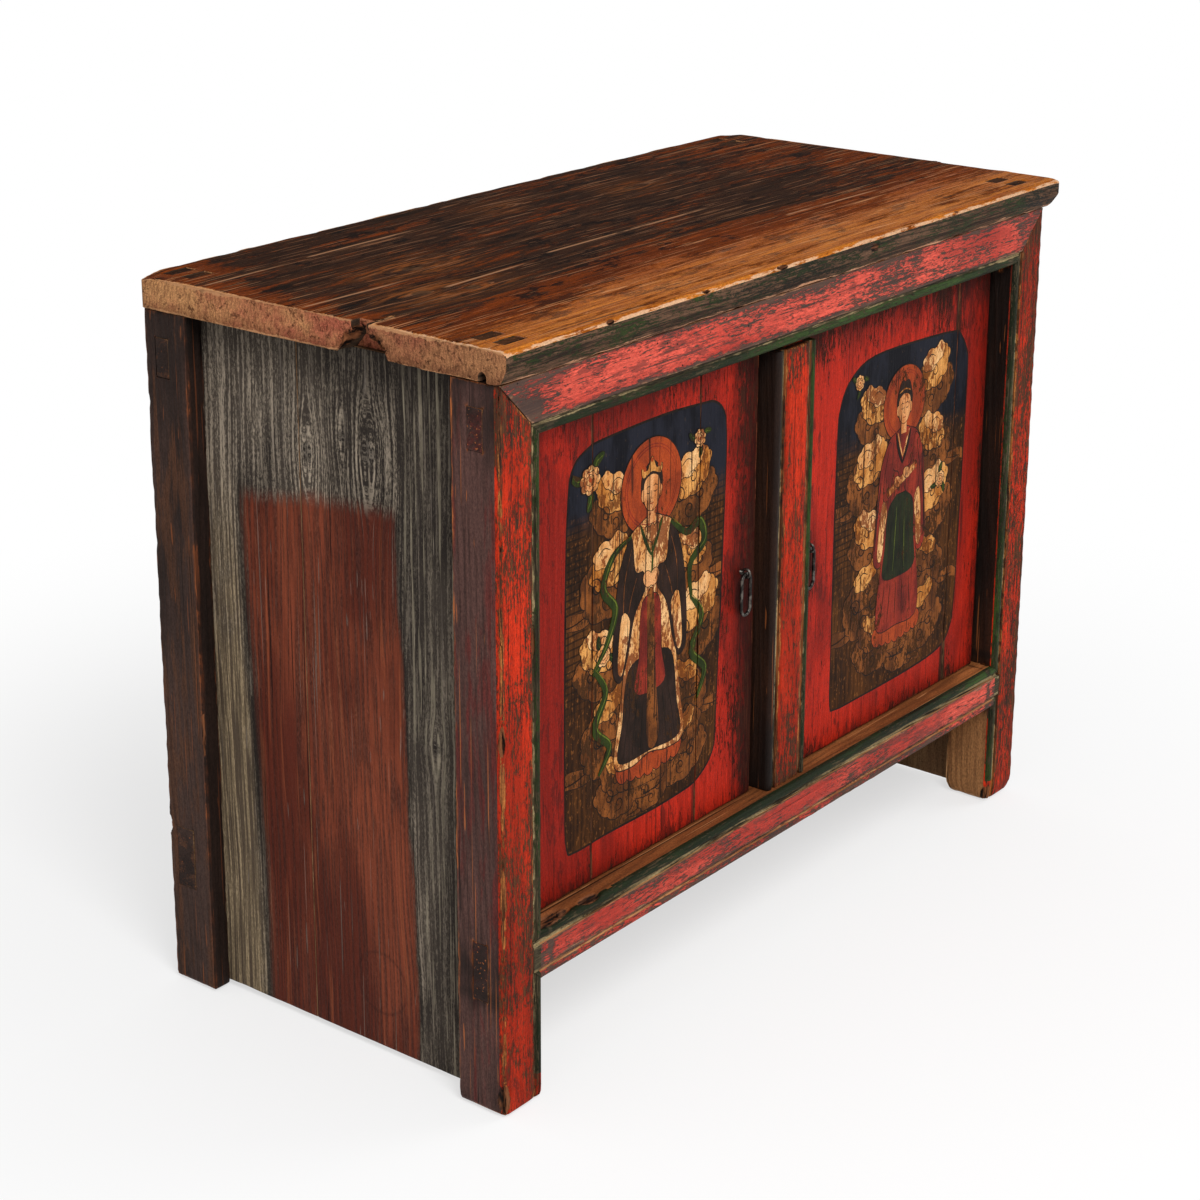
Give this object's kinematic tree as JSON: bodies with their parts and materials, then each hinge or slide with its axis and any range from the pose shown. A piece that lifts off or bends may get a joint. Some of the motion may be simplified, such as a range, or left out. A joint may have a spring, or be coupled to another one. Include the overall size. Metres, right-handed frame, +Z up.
{
  "type": "side cabinet",
  "caption": "Painted plank side cabinet with tenoned posts, a beaded front frame, doors on wooden pins, iron ring pulls and a lift-out centre stile.",
  "frame": {"origin": "on the floor under the middle of the plank top, at the centre of the bottom of the bounding box", "axes": "+X along the front towards the right-hand end as a person facing the doors sees it, +Y from the front to the rear, +Z up"},
  "size_m": [1.016, 0.483, 0.78],
  "materials": {
    "top_wood": "dark worn patina, polished by use",
    "red_paint": "worn red pigment on wood with green beads",
    "crimson_paint": "varnished crimson pigment with painted panels",
    "dark_wood": "dark stained and sooted wood",
    "grey_wood": "weathered boards with a red-brown stain",
    "raw_wood": "unpainted aged softwood",
    "iron": "forged dark iron, rubbed bright on the outside"
  },
  "bodies": {
    "carcase": {"top_board_rear": "top_wood", "top_board_front": "top_wood", "front_top_rail": "red_paint", "front_bottom_rail": "red_paint", "rear_top_rail": "raw_wood", "rear_bottom_rail": "raw_wood", "front_left_post": "red_paint", "front_right_post": "red_paint", "rear_left_post": "dark_wood", "rear_right_post": "dark_wood", "left_side_board_front": "grey_wood", "left_side_board_rear": "grey_wood", "right_side_board_front": "grey_wood", "right_side_board_rear": "grey_wood", "back_board_1": "raw_wood", "back_board_2": "raw_wood", "back_board_3": "raw_wood", "floor_board_1": "raw_wood", "floor_board_2": "raw_wood", "floor_board_3": "raw_wood", "floor_board_4": "raw_wood"},
    "stile": {"centre_stile": "red_paint"},
    "left_door": {"left_door_hinge_board": "crimson_paint", "left_door_middle_board": "crimson_paint", "left_door_meeting_board": "crimson_paint", "left_door_lower_batten": "raw_wood", "left_door_upper_batten": "raw_wood", "left_pull_staple": "iron"},
    "right_door": {"right_door_hinge_board": "crimson_paint", "right_door_wide_board": "crimson_paint", "right_door_lower_batten": "raw_wood", "right_door_upper_batten": "raw_wood", "right_pull_staple": "iron"},
    "left_ring": {"left_pull_ring": "iron"},
    "right_ring": {"right_pull_ring": "iron"}
  },
  "joints": [
    {"name": "left_door_hinge", "type": "hinge", "parent": "carcase", "child": "left_door", "pos_m": [-0.434, -0.1935, 0.43], "axis": [0, 0, -1], "range_deg": [0, 90]},
    {"name": "right_door_hinge", "type": "hinge", "parent": "carcase", "child": "right_door", "pos_m": [0.416, -0.1935, 0.43], "axis": [0, 0, 1], "range_deg": [0, 90]},
    {"name": "stile_lift", "type": "slide", "parent": "carcase", "child": "stile", "axis": [0, 0, 1], "range_m": [0, 0.008]},
    {"name": "left_ring_swing", "type": "hinge", "parent": "left_door", "child": "left_ring", "pos_m": [-0.082, -0.211, 0.4449], "axis": [-1, 0, 0], "range_deg": [0, 150]},
    {"name": "right_ring_swing", "type": "hinge", "parent": "right_door", "child": "right_ring", "pos_m": [0.0395, -0.211, 0.4399], "axis": [-1, 0, 0], "range_deg": [0, 150]}
  ]
}
